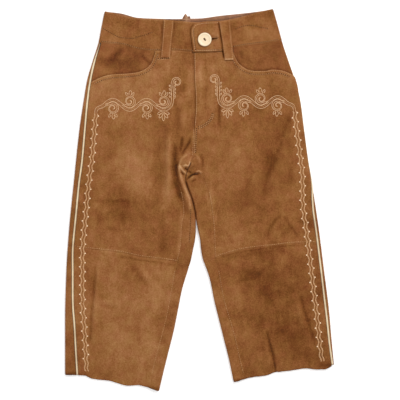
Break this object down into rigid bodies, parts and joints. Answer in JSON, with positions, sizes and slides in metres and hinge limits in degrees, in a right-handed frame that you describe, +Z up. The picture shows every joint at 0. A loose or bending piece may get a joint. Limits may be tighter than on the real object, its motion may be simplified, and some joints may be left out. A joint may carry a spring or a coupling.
{
  "type": "lederhosen",
  "caption": "Child's knee-length suede lederhosen laid flat, front up, with scroll embroidery, cream side piping, curved pockets and a buttoned waistband.",
  "frame": {"origin": "middle of the garment's outline on the surface that it lies on", "axes": "+X towards the wearer's left, +Y towards the waist, +Z up off the surface, out of the front"},
  "size_m": [0.4034, 0.573, 0.0126],
  "materials": {
    "suede": "napped warm brown suede, cloudy, matt with a soft sheen",
    "suede_facing": "napped darker red-brown suede",
    "piping": "smooth cream leather over a cord",
    "horn": "pale polished horn",
    "thread": "light tan and cream sewing and embroidery thread, slightly glossy"
  },
  "bodies": {
    "root": {"front_upper_right": "suede", "front_upper_left": "suede", "front_lower_right": "suede", "front_lower_left": "suede", "back_upper_right": "suede", "back_upper_left": "suede", "back_lower_right": "suede", "back_lower_left": "suede", "waistband_right": "suede", "waistband_left": "suede", "belt_loop_right": "suede", "belt_loop_left": "suede", "belt_loop_back": "suede", "pocket_facing_right": "suede_facing", "pocket_facing_left": "suede_facing", "piping_right": "piping", "piping_left": "piping", "button": "horn"}
  },
  "joints": []
}
